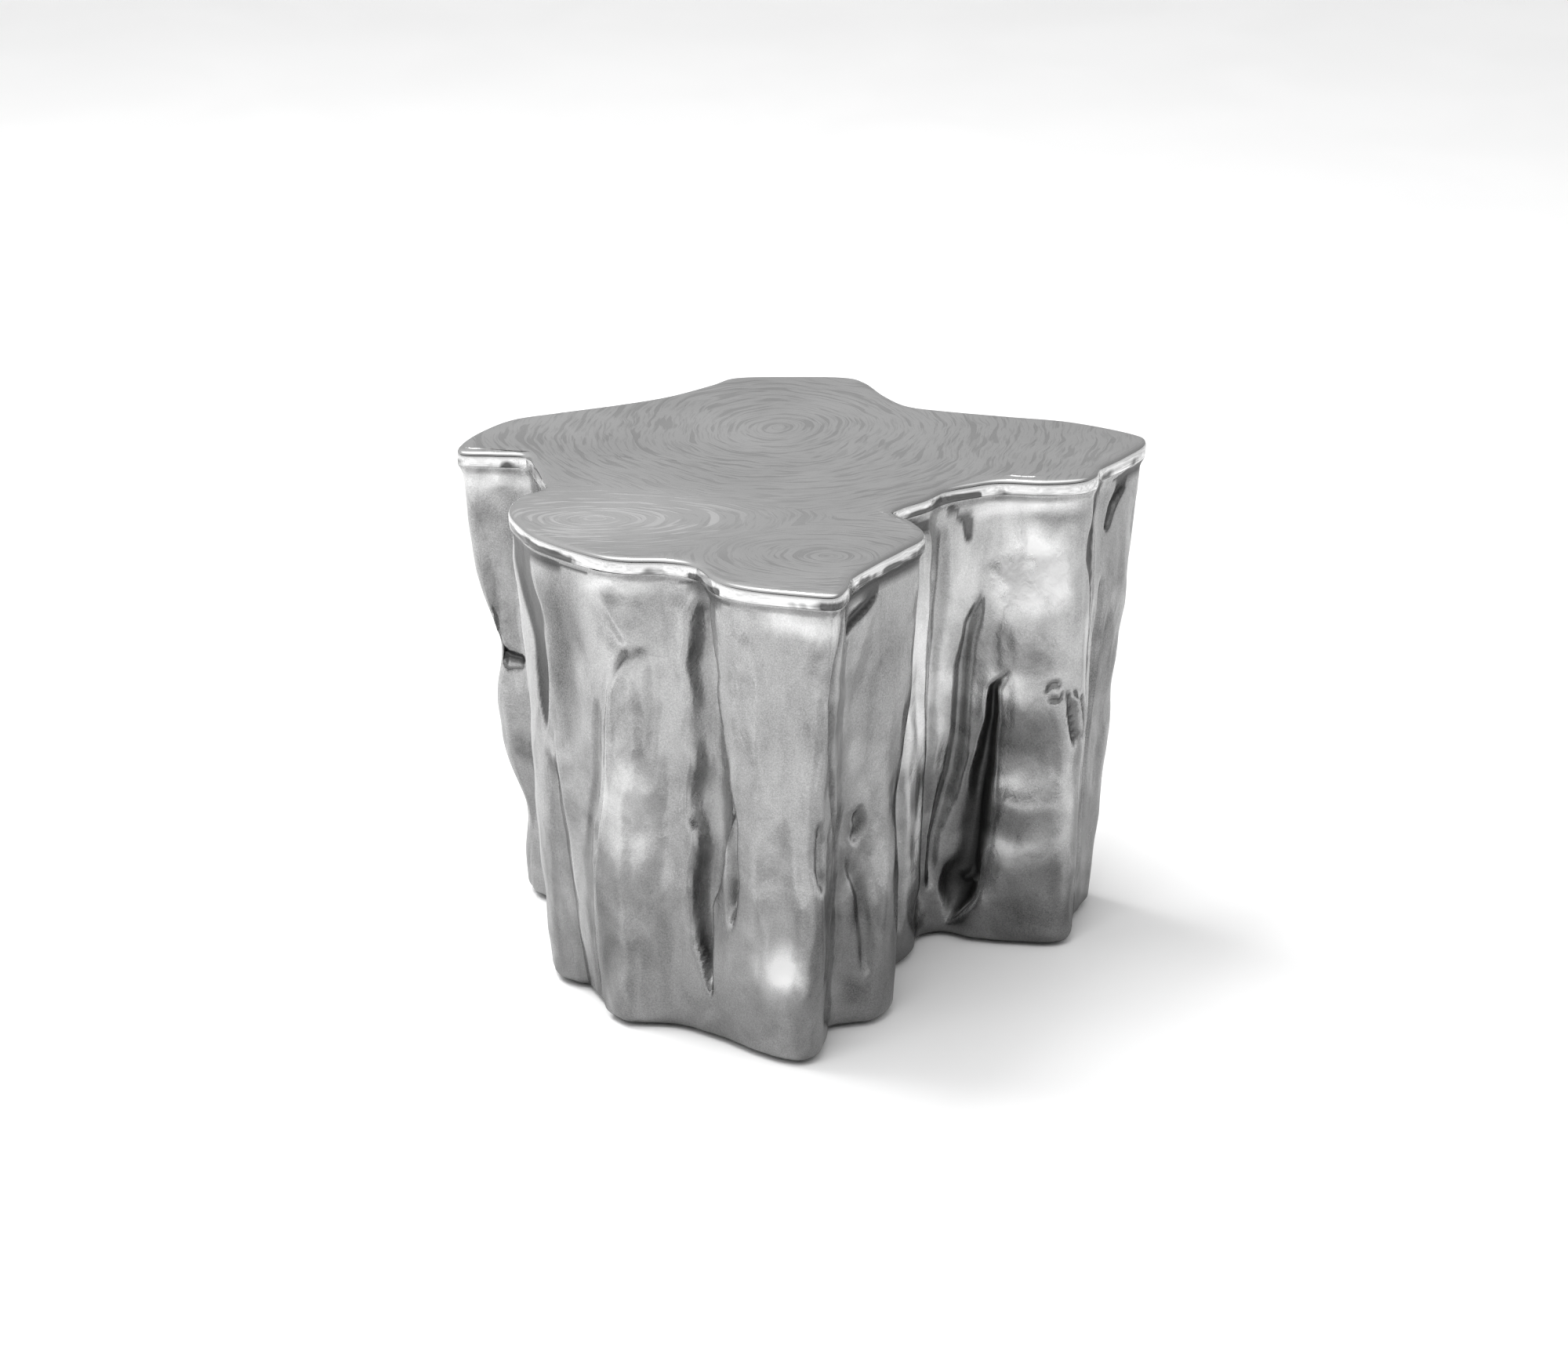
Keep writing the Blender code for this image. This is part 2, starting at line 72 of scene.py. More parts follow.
# The stump's outline in millimetres, once round from the far right root, as part.py has it: the
# place of each ridge and groove at the top of the table, and where it stands at the floor.
OUTLINE = (
    ("right_root_tip", (312, 92), (270, 84)),
    ("right_root_shoulder", (298, 116), (262, 110)),
    ("right_root_back", (246, 149), (222, 140)),
    ("right_back_flank", (190, 165), (176, 153)),
    ("right_back_hollow", (132, 182), (122, 169)),
    ("back_groove_right", (100, 196), (92, 182)),
    ("back_root_flank", (80, 226), (74, 206)),
    ("back_root_corner", (62, 268), (56, 244)),
    ("back_root_tip_right", (42, 285), (38, 259)),
    ("back_root_tip", (-8, 288), (-8, 262)),
    ("back_root_tip_left", (-60, 284), (-56, 258)),
    ("back_root_left", (-84, 260), (-78, 236)),
    ("back_groove_left", (-123, 225), (-113, 203)),
    ("left_back_flank", (-168, 200), (-153, 184)),
    ("left_back_shoulder", (-222, 176), (-200, 167)),
    ("left_root_back", (-262, 156), (-230, 154)),
    ("left_root_side", (-288, 122), (-246, 134)),
    ("left_root_edge", (-304, 86), (-251, 114)),
    ("left_root_tip", (-304, 63), (-246, 98)),
    ("left_root_front", (-274, 59), (-238, 86)),
    ("left_root_inner", (-246, 54), (-224, 70)),
    ("left_groove_back", (-236, 26), (-208, 36)),
    ("left_groove", (-228, -10), (-198, 4)),
    ("left_groove_front", (-224, -42), (-198, -28)),
    ("left_front_corner", (-244, -64), (-216, -54)),
    ("left_front_side", (-252, -96), (-224, -78)),
    ("left_front_edge", (-244, -130), (-218, -100)),
    ("left_front_face", (-223, -170), (-190, -128)),
    ("left_front_cheek", (-178, -213), (-157, -186)),
    ("left_front_tip", (-150, -227), (-140, -196)),
    ("left_front_nose", (-112, -230), (-112, -202)),
    ("front_hollow", (-88, -243), (-88, -217)),
    ("front_hollow_side", (-70, -279), (-60, -239)),
    ("front_root_left", (-44, -299), (-36, -261)),
    ("front_root_tip", (0, -313), (-4, -279)),
    ("front_root_nose", (29, -318), (17, -267)),
    ("front_root_corner", (40, -300), (26, -236)),
    ("front_crease", (46, -270), (29, -208)),
    ("front_right_face", (68, -231), (48, -200)),
    ("front_right_cheek", (90, -197), (68, -194)),
    ("front_right_tip", (107, -166), (83, -170)),
    ("front_right_back", (98, -134), (83, -138)),
    ("deep_groove", (81, -108), (70, -108)),
    ("deep_groove_side", (90, -88), (86, -80)),
    ("inner_rib", (112, -66), (105, -46)),
    ("inner_rib_back", (128, -44), (112, -12)),
    ("right_notch", (153, -28), (130, 0)),
    ("right_front_edge", (178, -18), (156, -14)),
    ("right_front_face", (214, -22), (200, -24)),
    ("right_front_cheek", (246, -17), (235, -21)),
    ("right_front_corner", (262, -3), (250, -4)),
    ("right_crease", (269, 20), (254, 28)),
    ("right_side_face", (292, 54), (261, 56)),
)
NAMES = [name for name, _, _ in OUTLINE]
TOP_RIDGES = np.array([top for _, top, _ in OUTLINE]) * MM
FLOOR_RIDGES = np.array([floor for _, _, floor in OUTLINE]) * MM

# A place on the wall is a ridge position, which counts along OUTLINE (2.5 is half way from the
# third ridge to the fourth), and a share of the wall's height.

# The large swellings and hollows, as part.py has them: the ridge it sits by, share of the table's
# height, how far it stands out in millimetres, and its half-width and half-height in millimetres.
BARK_SWELLINGS = (
    ("left_root_edge", 0.60, -9, 55, 45),
    ("left_root_edge", 0.20, -8, 60, 40),
    ("left_front_edge", 0.80, -4, 40, 60),
    ("left_front_tip", 0.85, 5, 45, 60),
    ("front_root_left", 0.35, 4, 40, 80),
    ("front_root_nose", 0.60, -6, 30, 90),
    ("front_right_tip", 0.45, -9, 30, 90),
    ("front_right_cheek", 0.30, 6, 35, 60),
    ("right_front_face", 0.72, 5, 60, 50),
    ("right_front_face", 0.42, -4, 60, 45),
    ("right_notch", 0.25, -10, 35, 90),
    ("right_side_face", 0.72, 4, 40, 50),
    ("back_root_tip", 0.50, -5, 60, 90),
    ("right_back_flank", 0.40, 6, 60, 90),
    ("left_back_flank", 0.60, 6, 60, 80),
)


# Outline


def smooth_points(points, positions):
    """Places at these positions along the closed Catmull-Rom curve through the given points."""
    count = len(points)
    index = np.floor(positions).astype(int)
    u = (positions - index)[:, None]
    before, start, end, after = (points[(index + k) % count] for k in (-1, 0, 1, 2))
    return (
        start * (2 - 5 * u * u + 3 * u**3)
        + end * (u + 4 * u * u - 3 * u**3)
        + before * (-u + 2 * u * u - u**3)
        + after * (u**3 - u * u)
    ) / 2


def even_positions(points, count):
    """Positions the same distance apart round the closed curve, and how far round each one is.

    The last two arrays are matching distances and positions all round, for looking up others.
    """
    samples = np.linspace(0, len(points), SAMPLES_PER_RIDGE * len(points) + 1)
    places = smooth_points(points, samples)
    run = np.concatenate([[0], np.cumsum(np.linalg.norm(np.diff(places, axis=0), axis=1))])
    wanted = run[-1] * np.arange(count) / count
    return np.interp(wanted, run, samples), wanted, run, samples


POSITIONS, ALONG, CURVE_RUN, CURVE_SAMPLES = even_positions(TOP_RIDGES, COLUMNS)
PERIMETER = CURVE_RUN[-1]
TOP_CURVE = smooth_points(TOP_RIDGES, POSITIONS)
FLOOR_CURVE = smooth_points(FLOOR_RIDGES, POSITIONS)
CENTRE = (TOP_CURVE.max(axis=0) + TOP_CURVE.min(axis=0)) / 2


def outward(points):
    """The outward direction at each point of a closed outline that runs anticlockwise."""
    along = np.roll(points, -1, axis=0) - np.roll(points, 1, axis=0)
    side = np.stack([along[:, 1], -along[:, 0]], axis=1)
    return side / np.linalg.norm(side, axis=1, keepdims=True)


def plain_outline(share):
    """The outline at a share of the table's height, with the origin under its middle."""
    return FLOOR_CURVE + (TOP_CURVE - FLOOR_CURVE) * share - CENTRE


def run_of(position):
    """How far round the top a ridge position is, in metres."""
    return np.interp(position % len(OUTLINE), CURVE_SAMPLES, CURVE_RUN)


def across_from(run):
    """Each column's distance round the wall from a place on it, the shorter way, in metres."""
    return (ALONG - run + PERIMETER / 2) % PERIMETER - PERIMETER / 2


# Smaller swellings and hollows: ridge position, share of the wall's height, millimetres out,
# half-width and half-height in millimetres.
DENTS = (
    # right root's front face, from under the lip down
    (47.9, 0.76, 3.0, 50, 44),
    (47.6, 0.53, 4.5, 40, 26),
    (47.8, 0.31, 2.4, 40, 17),
    (48.0, 0.18, 2.6, 45, 19),
    # front root
    (33.6, 0.16, 3.4, 26, 18),
    (34.9, 0.47, -3.0, 14, 22),
    (35.0, 0.82, -5.0, 22, 40),
    # left front root
    (30.0, 0.62, 2.0, 30, 40),
    (29.8, 0.30, 2.4, 26, 22),
    (27.2, 0.80, -2.5, 26, 50),
    (27.3, 0.40, -2.0, 22, 60),
)

# Folds, grooves and gouges: millimetres out, the power that shapes its side (2 is round, 4 is
# steep), how much painted shade darkens its floor, and its path as ridge position, share of the
# wall's height and half-width in millimetres before it and after it, counted along OUTLINE.
FOLDS = (
    # left front root: the groove at its left edge, and the two raised faces
    (-3.5, 3, 1, (
        (25.9, 1.0, 20, 16), (26.05, 0.94, 22, 20), (26.2, 0.87, 21, 20), (26.35, 0.79, 17, 13),
        (26.45, 0.70, 10, 8), (26.5, 0.58, 3, 3),
    )),
    (-5, 2, 0.25, ((26.55, 0.55, 6, 9), (26.6, 0.4, 7, 9), (26.7, 0.2, 6, 8), (26.8, 0.0, 6, 8))),
    (3, 2, 0, ((28.1, 1.02, 7, 30), (28.3, 0.94, 7, 30), (28.9, 0.88, 7, 26), (29.2, 0.84, 7, 22))),
    (-2, 2, 0.35, (
        (28.0, 0.74, 4, 4), (27.75, 0.54, 5, 4), (27.35, 0.33, 6, 4), (27.25, 0.12, 5, 4),
        (27.3, 0.02, 4, 4),
    )),
    (7, 2, 0, (
        (29.2, 0.86, 5, 24), (28.5, 0.75, 5, 34), (28.1, 0.54, 5, 40), (27.7, 0.33, 6, 42),
        (27.6, 0.12, 6, 42), (27.7, 0.0, 6, 42),
    )),
    (2.5, 2, 0, ((26.9, 0.62, 5, 12), (26.95, 0.4, 5, 12), (27.0, 0.2, 5, 12))),
    # the deep groove between the left front root and the front root, with its second tine
    (-20, 4, 0.2, (
        (31.15, 0.99, 5, 10), (31.15, 0.9, 11, 20), (31.2, 0.72, 13, 23), (31.25, 0.58, 14, 25),
        (31.3, 0.42, 15, 20), (31.1, 0.3, 11, 10), (31.1, 0.2, 8, 8), (31.3, 0.1, 3, 3),
    )),
    (-12, 3, 0.35, (
        (31.8, 0.62, 8, 7), (32.2, 0.5, 9, 8), (32.3, 0.38, 8, 7), (32.05, 0.27, 3, 3),
    )),
    # front root: shallow streaks, and the crease at its right edge
    (1.6, 2, 0, ((33.2, 0.9, 9, 9), (33.1, 0.5, 10, 10), (33.2, 0.15, 9, 9))),
    (-1.6, 2, 0, ((34.1, 0.88, 8, 8), (34.0, 0.6, 8, 8), (34.2, 0.35, 8, 8))),
    (-5, 2, 0.4, (
        (34.75, 0.53, 4, 8), (35.1, 0.485, 7, 6), (34.9, 0.43, 6, 6), (35.2, 0.37, 4, 4),
    )),
    (-8, 2, 0.6, (
        (36.3, 0.99, 3, 4), (35.6, 0.88, 3, 5), (35.6, 0.79, 3, 5), (36.0, 0.64, 3, 5),
        (36.5, 0.41, 3, 5), (36.4, 0.23, 3, 5), (36.5, 0.0, 3, 5),
    )),
    # front root's right face: a slit near the top and a hollow low down
    (-5, 2, 1, ((36.7, 0.90, 2, 2), (37.1, 0.925, 6, 5), (37.6, 0.945, 6, 5), (38.2, 0.965, 2, 2))),
    (-3.5, 2, 0.3, ((37.6, 0.5, 5, 7), (37.8, 0.46, 7, 9), (37.6, 0.42, 5, 6))),
    (-5, 2, 0.35, ((37.4, 0.4, 5, 6), (38.0, 0.3, 9, 12), (38.3, 0.2, 10, 13), (38.4, 0.1, 8, 10))),
    # the rib in the deep hollow
    (-7, 2, 0.25, ((43.2, 0.98, 7, 8), (43.1, 0.6, 7, 8), (43.3, 0.3, 7, 8), (43.2, 0.05, 7, 8))),
    (4, 2, 0, ((44.2, 0.98, 6, 6), (44.1, 0.6, 6, 6), (44.5, 0.38, 6, 6), (44.2, 0.1, 6, 6))),
    (-6, 2, 0.25, ((45.1, 0.97, 6, 6), (45.0, 0.55, 6, 6), (45.2, 0.3, 6, 6), (45.0, 0.05, 7, 7))),
    # right root: the slanting groove, and the black gouge with its folded lip
    (-7, 2, 0.3, (
        (46.6, 0.79, 2, 3), (46.2, 0.72, 5, 6), (46.1, 0.62, 5, 5), (46.1, 0.47, 4, 5),
        (46.0, 0.38, 4, 5), (45.8, 0.30, 4, 5), (45.6, 0.23, 4, 6), (45.5, 0.10, 4, 6),
    )),
    (-14, 3, 1, (
        (47.4, 0.61, 2, 2), (47.12, 0.575, 4, 4), (47.1, 0.5, 5, 5), (47.0, 0.43, 6, 6),
        (46.87, 0.36, 8, 8), (46.8, 0.28, 10, 9), (46.72, 0.22, 12, 12), (46.6, 0.15, 14, 12),
        (46.42, 0.10, 10, 9), (46.25, 0.06, 6, 5), (46.1, 0.03, 2, 2),
    )),
    (9, 2, 0, ((46.35, 0.125, 4, 3), (46.7, 0.14, 4, 3), (47.05, 0.135, 3, 3))),
    # right root's outer corner, its knot and its twig
    (-3, 4, 1, (
        (50.9, 0.985, 6, 6), (50.5, 0.94, 6, 6), (50.1, 0.90, 6, 6), (49.95, 0.85, 6, 6),
        (50.3, 0.75, 5, 5), (50.5, 0.62, 3, 3),
    )),
    (-7, 3, 1, ((52.3, 0.975, 5, 5), (51.9, 0.95, 6, 6), (51.6, 0.92, 5, 5), (51.4, 0.88, 3, 3))),
    (5, 2, 0, ((49.15, 0.575, 3, 3), (49.45, 0.53, 4, 4), (49.8, 0.455, 3, 3))),
    (-4, 2, 1, ((48.9, 0.58, 1.5, 1.5), (49.05, 0.52, 1.8, 1.8), (49.5, 0.44, 1.8, 1.8))),
    (-4, 2, 1, ((49.7, 0.56, 2, 2), (50.0, 0.51, 3, 3), (50.1, 0.45, 2, 2))),
    (-3, 2, 1, (
        (48.3, 0.573, 1.5, 1.5), (48.38, 0.587, 1.5, 1.5), (48.55, 0.592, 1.5, 1.5),
        (48.74, 0.584, 1.5, 1.5),
    )),
    (-3, 2, 1, (
        (48.79, 0.573, 1.5, 1.5), (48.72, 0.560, 1.5, 1.5), (48.55, 0.555, 1.5, 1.5),
        (48.35, 0.562, 1.5, 1.5),
    )),
    # undercuts just below the lip, darkened with painted shade
    (-3, 3, 1, (
        (51.6, 0.985, 1, 1), (52.1, 0.985, 5, 5), (52.8, 0.985, 5, 5), (53.4, 0.985, 1, 1),
    )),
    (-3, 3, 1, (
        (36.7, 0.985, 1, 1), (37.4, 0.985, 5, 5), (38.7, 0.985, 6, 6), (39.8, 0.985, 7, 7),
        (40.4, 0.985, 1, 1),
    )),
    (-3, 3, 1, (
        (25.4, 0.985, 1, 1), (26.2, 0.985, 4, 4), (27.1, 0.985, 4, 4), (27.9, 0.985, 1, 1),
    )),
    (-3, 3, 0.7, ((30.4, 0.985, 1, 1), (31.4, 0.985, 6, 6), (32.4, 0.985, 1, 1))),
    (-3, 3, 1, ((41.7, 0.97, 1, 1), (42.4, 0.97, 6, 6), (43.2, 0.97, 9, 9), (44.9, 0.97, 1, 1))),
    (-3, 2, 0.9, ((45.3, 0.985, 4, 4), (45.9, 0.95, 5, 5), (46.0, 0.90, 3, 3))),
    (-4, 2, 0.3, ((51.3, 0.8, 4, 5), (51.3, 0.4, 4, 5), (51.2, 0.1, 4, 5))),
    # left root: the broken twig at its edge, and the dark hollow beside the top
    (-6, 2, 1, ((17.9, 0.61, 5, 5), (18.2, 0.575, 6, 6), (18.6, 0.56, 6, 6), (19.3, 0.555, 4, 4))),
    (3, 2, 0, ((18.1, 0.66, 6, 6), (18.2, 0.61, 6, 6))),
    (-6, 2, 0.7, ((21.2, 1.0, 5, 6), (21.5, 0.95, 5, 6), (21.7, 0.85, 5, 6))),
)

# Painted highlights and painted shade, put into the metal's colour: ridge position, share of the
# wall's height, change in brightness, half-width and half-height in millimetres.
PAINTED_LIGHT_PATCHES = (
    (18.7, 0.972, 0.8, 30, 9),
    (18.9, 0.90, -0.2, 40, 22),
    (19.5, 0.85, -0.15, 30, 30),
    (27.2, 0.80, -0.6, 28, 90),
    (27.0, 0.20, 0.8, 26, 60),
    (27.0, 0.47, 0.15, 18, 60),
    (28.6, 0.965, 0.6, 34, 12),
    (29.2, 0.80, 0.2, 26, 30),
    (28.6, 0.50, 0.8, 26, 50),
    (29.4, 0.10, -0.15, 40, 25),
    (27.9, 0.06, 0.5, 10, 25),
    (33.9, 0.965, 0.9, 30, 11),
    (35.2, 0.955, 0.6, 10, 14),
    (33.2, 0.80, -0.12, 26, 60),
    (34.4, 0.90, -0.3, 8, 8),
    (34.9, 0.47, -0.4, 9, 14),
    (35.2, 0.30, -0.25, 8, 20),
    (33.6, 0.20, 2.1, 23, 26),
    (33.0, 0.28, 0.35, 16, 12),
    (33.4, 0.40, 0.25, 30, 40),
    (38.5, 0.75, -0.3, 44, 90),
    (37.8, 0.46, -0.45, 7, 8),
    (37.9, 0.27, -0.35, 12, 22),
    (38.0, 0.08, -0.4, 30, 18),
    (36.9, 0.15, 0.3, 6, 40),
    (45.8, 0.82, 0.6, 16, 45),
    (45.3, 0.55, 0.7, 11, 70),
    (45.2, 0.20, 0.5, 7, 40),
    (47.6, 0.975, 1.3, 46, 11),
    (48.2, 0.945, -0.45, 16, 8),
    (47.8, 0.835, 2.6, 34, 34),
    (48.2, 0.68, 0.25, 40, 18),
    (47.5, 0.585, 0.9, 18, 13),
    (48.6, 0.60, 0.4, 14, 16),
    (47.9, 0.45, -0.35, 24, 16),
    (47.5, 0.36, 0.45, 12, 8),
    (48.1, 0.29, -0.25, 24, 9),
    (47.7, 0.225, 1.0, 24, 9),
    (48.3, 0.07, -0.25, 40, 20),
    (49.3, 0.36, 0.3, 8, 60),
    (43.9, 0.50, 1.0, 34, 150),
    (52.2, 0.60, -0.55, 34, 130),
    (51.5, 0.5, -0.2, 14, 60),
)

FOLD_RUN_OUT = 40  # millimetres over which a long fold's end runs out; a short one takes a quarter
FOLD_TIP = 0.15  # how much of the run-out a fold's very end has behind it
FOLD_ENDS = (0.02, 0.98)  # a fold's end past these shares runs on over the wall's edge

BACK_SEED = 7
BACK_FOLDS = (0.4, 24)  # ridge positions between which the unseen back gets invented folds
LEFT_ROOT_FACE = (17.5, 22)  # none here, where the photo shows the left root
BACK_FOLD_SPACING = 1.35  # ridge positions, times a random 0.6 to 1.3
BACK_FOLD_POINTS = 9
# painted shade in the floors of the invented back folds
BACK_DARKNESS = 0.2
BACK_RIBS_END = 24.5  # the broad ribs reach from the first ridge to here
BACK_RIBS_FADE = 1.5  # ridge positions over which they fade

# Noise over the bark: millimetres out, lump size in millimetres, stretch up the wall and seed
BARK_CREASES = ((1.0, 34, 4.5, 21.7), (0.5, 15, 4, 15.2))
BARK_LUMPS = ((3.0, 55, 1.8, 3.1), (1.3, 22, 1.8, 7.7), (0.25, 9, 1.5, 1.3))
BACK_RIBS = (9, 48, 5.0, 31.2)
BACK_LUMPS = (3, 80, 2.0, 37.5)
CREASE_LEVEL, RIB_LEVEL = 0.25, 0.2  # where a crease or a rib neither stands out nor sinks in
RAGGED = (0.45, 20, 2.0, 11.3)  # change in the folds' width, in place of the millimetres
CLOUDS = (0.16, 34, 1.5, 6.6)  # change in brightness, in place of the millimetres
PATCH_STRAY = 11 * MM  # how far the edge of a painted light patch strays
STRAY_ALONG, STRAY_UP = (26, 1.3, 2.9), (26, 1.3, 8.4)
PATCH_EDGE = 1.3  # power of a patch's fall-off: more has a firmer edge

# How fast each fades in under the lip: full at one part in this many of the wall's height
SWELLING_FADE, FOLD_FADE, LUMP_FADE = 6, 14, 10
FOLD_FADE_LEAST = 0.25
DARK_GAIN, DARK_START = 3.0, 0.3  # how soon a fold's floor of painted shade sets in from its side

END_SHARES = np.array((0, 0.002, 0.005, 0.009, 0.014, 0.021))  # closer rows for the rounded ends
MIDDLE_SHARES = (0.03, 0.96)
FOOT_ROUND = 9 * MM  # radius of the wall's lower edge
LIP_FLARE = 2.2 * MM  # how far the wall comes out again to meet the lip
FLARE_REACH = 5  # millimetres below the lip
NECK_DEPTH = 0.7 * MM  # a shallow neck below the flare
NECK_PLACE, NECK_REACH = 14, 10  # millimetres below the lip, and its half-height


def bark(share):
    """How far the bark stands out from the plain wall, for every column at this height."""
    out = np.zeros(COLUMNS)
    for ridge, height, amount, half_width, half_height in BARK_SWELLINGS:
        across = across_from(run_of(NAMES.index(ridge))) / (half_width * MM)
        up = (share - height) * TABLE_HEIGHT / (half_height * MM)
        out += amount * MM * np.exp(-across * across - up * up)
    return out


def back_folds():
    """Invented folds for the side away from the front, each with a raised rib beside it."""
    rng = np.random.default_rng(BACK_SEED)
    folds = []
    position, end = BACK_FOLDS
    while position < end:
        low, high = rng.uniform(-0.05, 0.3), rng.uniform(0.7, 1.05)
        sway, phase = rng.uniform(0.08, 0.22), rng.uniform(0, 6)
        width, depth = rng.uniform(7, 17), rng.uniform(3, 10)
        path, rib = [], []
        for k in range(BACK_FOLD_POINTS):
            share = k / (BACK_FOLD_POINTS - 1)
            belly = 0.45 + 0.55 * math.sin(math.pi * share)
            bend = sway * math.sin(phase + 4 * share)
            path.append((position + bend, low + (high - low) * share, width * belly))
            rib.append((position + 0.55 + bend, 1.1 * share - 0.05, 0.8 * width, 2 * width))
        if not LEFT_ROOT_FACE[0] < position < LEFT_ROOT_FACE[1]:
            lopsided = tuple((where, height, half, 0.6 * half) for where, height, half in path)
            folds.append((-depth, 2, BACK_DARKNESS, lopsided))
            folds.append((0.7 * depth, 2, 0, tuple(rib)))
        position += BACK_FOLD_SPACING * rng.uniform(0.6, 1.3)
    return tuple(folds)


def smooth(value):
    """0 below 0, 1 above 1 and an even rise between."""
    value = np.clip(value, 0, 1)
    return value * value * (3 - 2 * value)


def fold_strength(path, power, along, height, ragged):
    """How strongly a fold acts at each place on the wall, from 0 to 1; its ends run out."""
    runs = np.unwrap([run_of(p[0]) for p in path], period=PERIMETER)
    places = np.column_stack([runs, [p[1] * WALL_RISE for p in path]])
    widths = np.array([p[2:] for p in path]) * MM
    middle = places[:, 0].mean()
    across = (along - middle + PERIMETER / 2) % PERIMETER - PERIMETER / 2 + middle
    lengths = np.hypot(*np.diff(places, axis=0).T)
    starts = np.concatenate([[0], np.cumsum(lengths)])
    best = np.full(along.shape, np.inf)
    strength = np.zeros(along.shape)
    run_out = min(FOLD_RUN_OUT * MM, starts[-1] / 4)
    for k in range(len(places) - 1):
        start, step = places[k], places[k + 1] - places[k]
        run_on = (across - start[0]) * step[0] + (height - start[1]) * step[1]
        share = np.clip(run_on / (step @ step), 0, 1)
        dx, dz = across - start[0] - share * step[0], height - start[1] - share * step[1]
        distance = np.hypot(dx, dz)
        after = (dx > 0).astype(int)
        half = (widths[k][after] + (widths[k + 1][after] - widths[k][after]) * share) * ragged
        here = np.exp(-((distance / half) ** power))
        run = starts[k] + share * lengths[k]
        for end, gone in ((path[0], run), (path[-1], starts[-1] - run)):
            if FOLD_ENDS[0] < end[1] < FOLD_ENDS[1]:
                here = here * smooth(FOLD_TIP + gone / run_out)
        taken = distance < best
        strength[taken] = here[taken]
        best[taken] = distance[taken]
    return strength


def wave(points, size, stretch, seed):
    """Smooth noise from -1 to 1 at each point; its lumps have this size, and are stretched in Z."""
    scaled = points / (np.array([size, size, size * stretch]) * MM) + seed
    values = [noise.noise(Vector(point)) for point in scaled.reshape(-1, 3)]
    return np.array(values).reshape(points.shape[:2])


def wall_points():
    """The wall's outer surface as rows of points from the floor up, its painted recess shade and
    its painted light.
    """
    middle = np.linspace(*MIDDLE_SHARES, WALL_ROWS)
    shares = np.concatenate([END_SHARES, middle, 1 - END_SHARES[::-1]])
    heights = WALL_RISE * shares
    plain = np.array([plain_outline(share) for share in shares])
    normals = np.array([outward(row) for row in plain])
    below_lip = (1 - shares)[:, None]
    fade = np.minimum(1, FOLD_FADE * below_lip)
    out = np.array([bark(share) for share in shares]) * np.minimum(1, SWELLING_FADE * below_lip)
    along = np.broadcast_to(ALONG, out.shape)
    height = np.broadcast_to(heights[:, None], out.shape)
    for position, centre, amount, half_width, half_height in DENTS:
        across = across_from(run_of(position))[None, :] / (half_width * MM)
        up = (height - centre * WALL_RISE) / (half_height * MM)
        out = out + amount * MM * np.exp(-across * across - up * up) * fade

    flat = np.concatenate([plain, np.broadcast_to(height[..., None], (*height.shape, 1))], axis=2)
    # random clouds of tone, then patches of painted highlight and painted shade on top
    clouds_and_painted_light = CLOUDS[0] * wave(flat, *CLOUDS[1:])
    stray_along = along + PATCH_STRAY * wave(flat, *STRAY_ALONG)
    stray_height = height + PATCH_STRAY * wave(flat, *STRAY_UP)
    for position, centre, change, half_width, half_height in PAINTED_LIGHT_PATCHES:
        reach = (stray_along - run_of(position) + PERIMETER / 2) % PERIMETER - PERIMETER / 2
        up = (stray_height - centre * WALL_RISE) / (half_height * MM)
        clouds_and_painted_light += change * np.exp(-(((reach / (half_width * MM)) ** 2 + up * up) ** PATCH_EDGE))

    # painted shade for the floors of folds and grooves, taken out of the colour by the material
    dark = np.zeros(out.shape)
    ragged = 1 + RAGGED[0] * wave(flat, *RAGGED[1:])
    for amount, power, darkness, path in FOLDS + back_folds():
        strength = fold_strength(path, power, along, height, ragged)
        out = out + amount * MM * strength * np.maximum(fade, FOLD_FADE_LEAST)
        dark = np.maximum(dark, darkness * smooth(DARK_GAIN * strength - DARK_START))

    lumps = np.zeros(out.shape)
    for amount, *noise_shape in BARK_CREASES:
        lumps = lumps + amount * (CREASE_LEVEL - np.abs(wave(flat, *noise_shape)))
    for amount, *noise_shape in BARK_LUMPS:
        lumps = lumps + amount * wave(flat, *noise_shape)
    unseen = smooth(np.minimum(POSITIONS, BACK_RIBS_END - POSITIONS) / BACK_RIBS_FADE)
    ribs = BACK_RIBS[0] * (np.abs(wave(flat, *BACK_RIBS[1:])) - RIB_LEVEL)
    ribs = ribs + BACK_LUMPS[0] * wave(flat, *BACK_LUMPS[1:])
    out = out + (lumps + unseen * ribs) * MM * np.minimum(1, LUMP_FADE * below_lip)

    down = below_lip * WALL_RISE / MM
    out = out + LIP_FLARE * np.exp(-((down / FLARE_REACH) ** 2))
    out = out - NECK_DEPTH * np.exp(-(((down - NECK_PLACE) / NECK_REACH) ** 2))
    foot = np.clip(1 - heights / FOOT_ROUND, 0, 1)[:, None]
    out = out - FOOT_ROUND * (1 - np.sqrt(1 - foot * foot))
    moved = plain + normals * (out - LIP_OVERHANG)[..., None]
    return np.concatenate([moved, (WALL_FOOT + height)[..., None]], axis=2), dark, clouds_and_painted_light


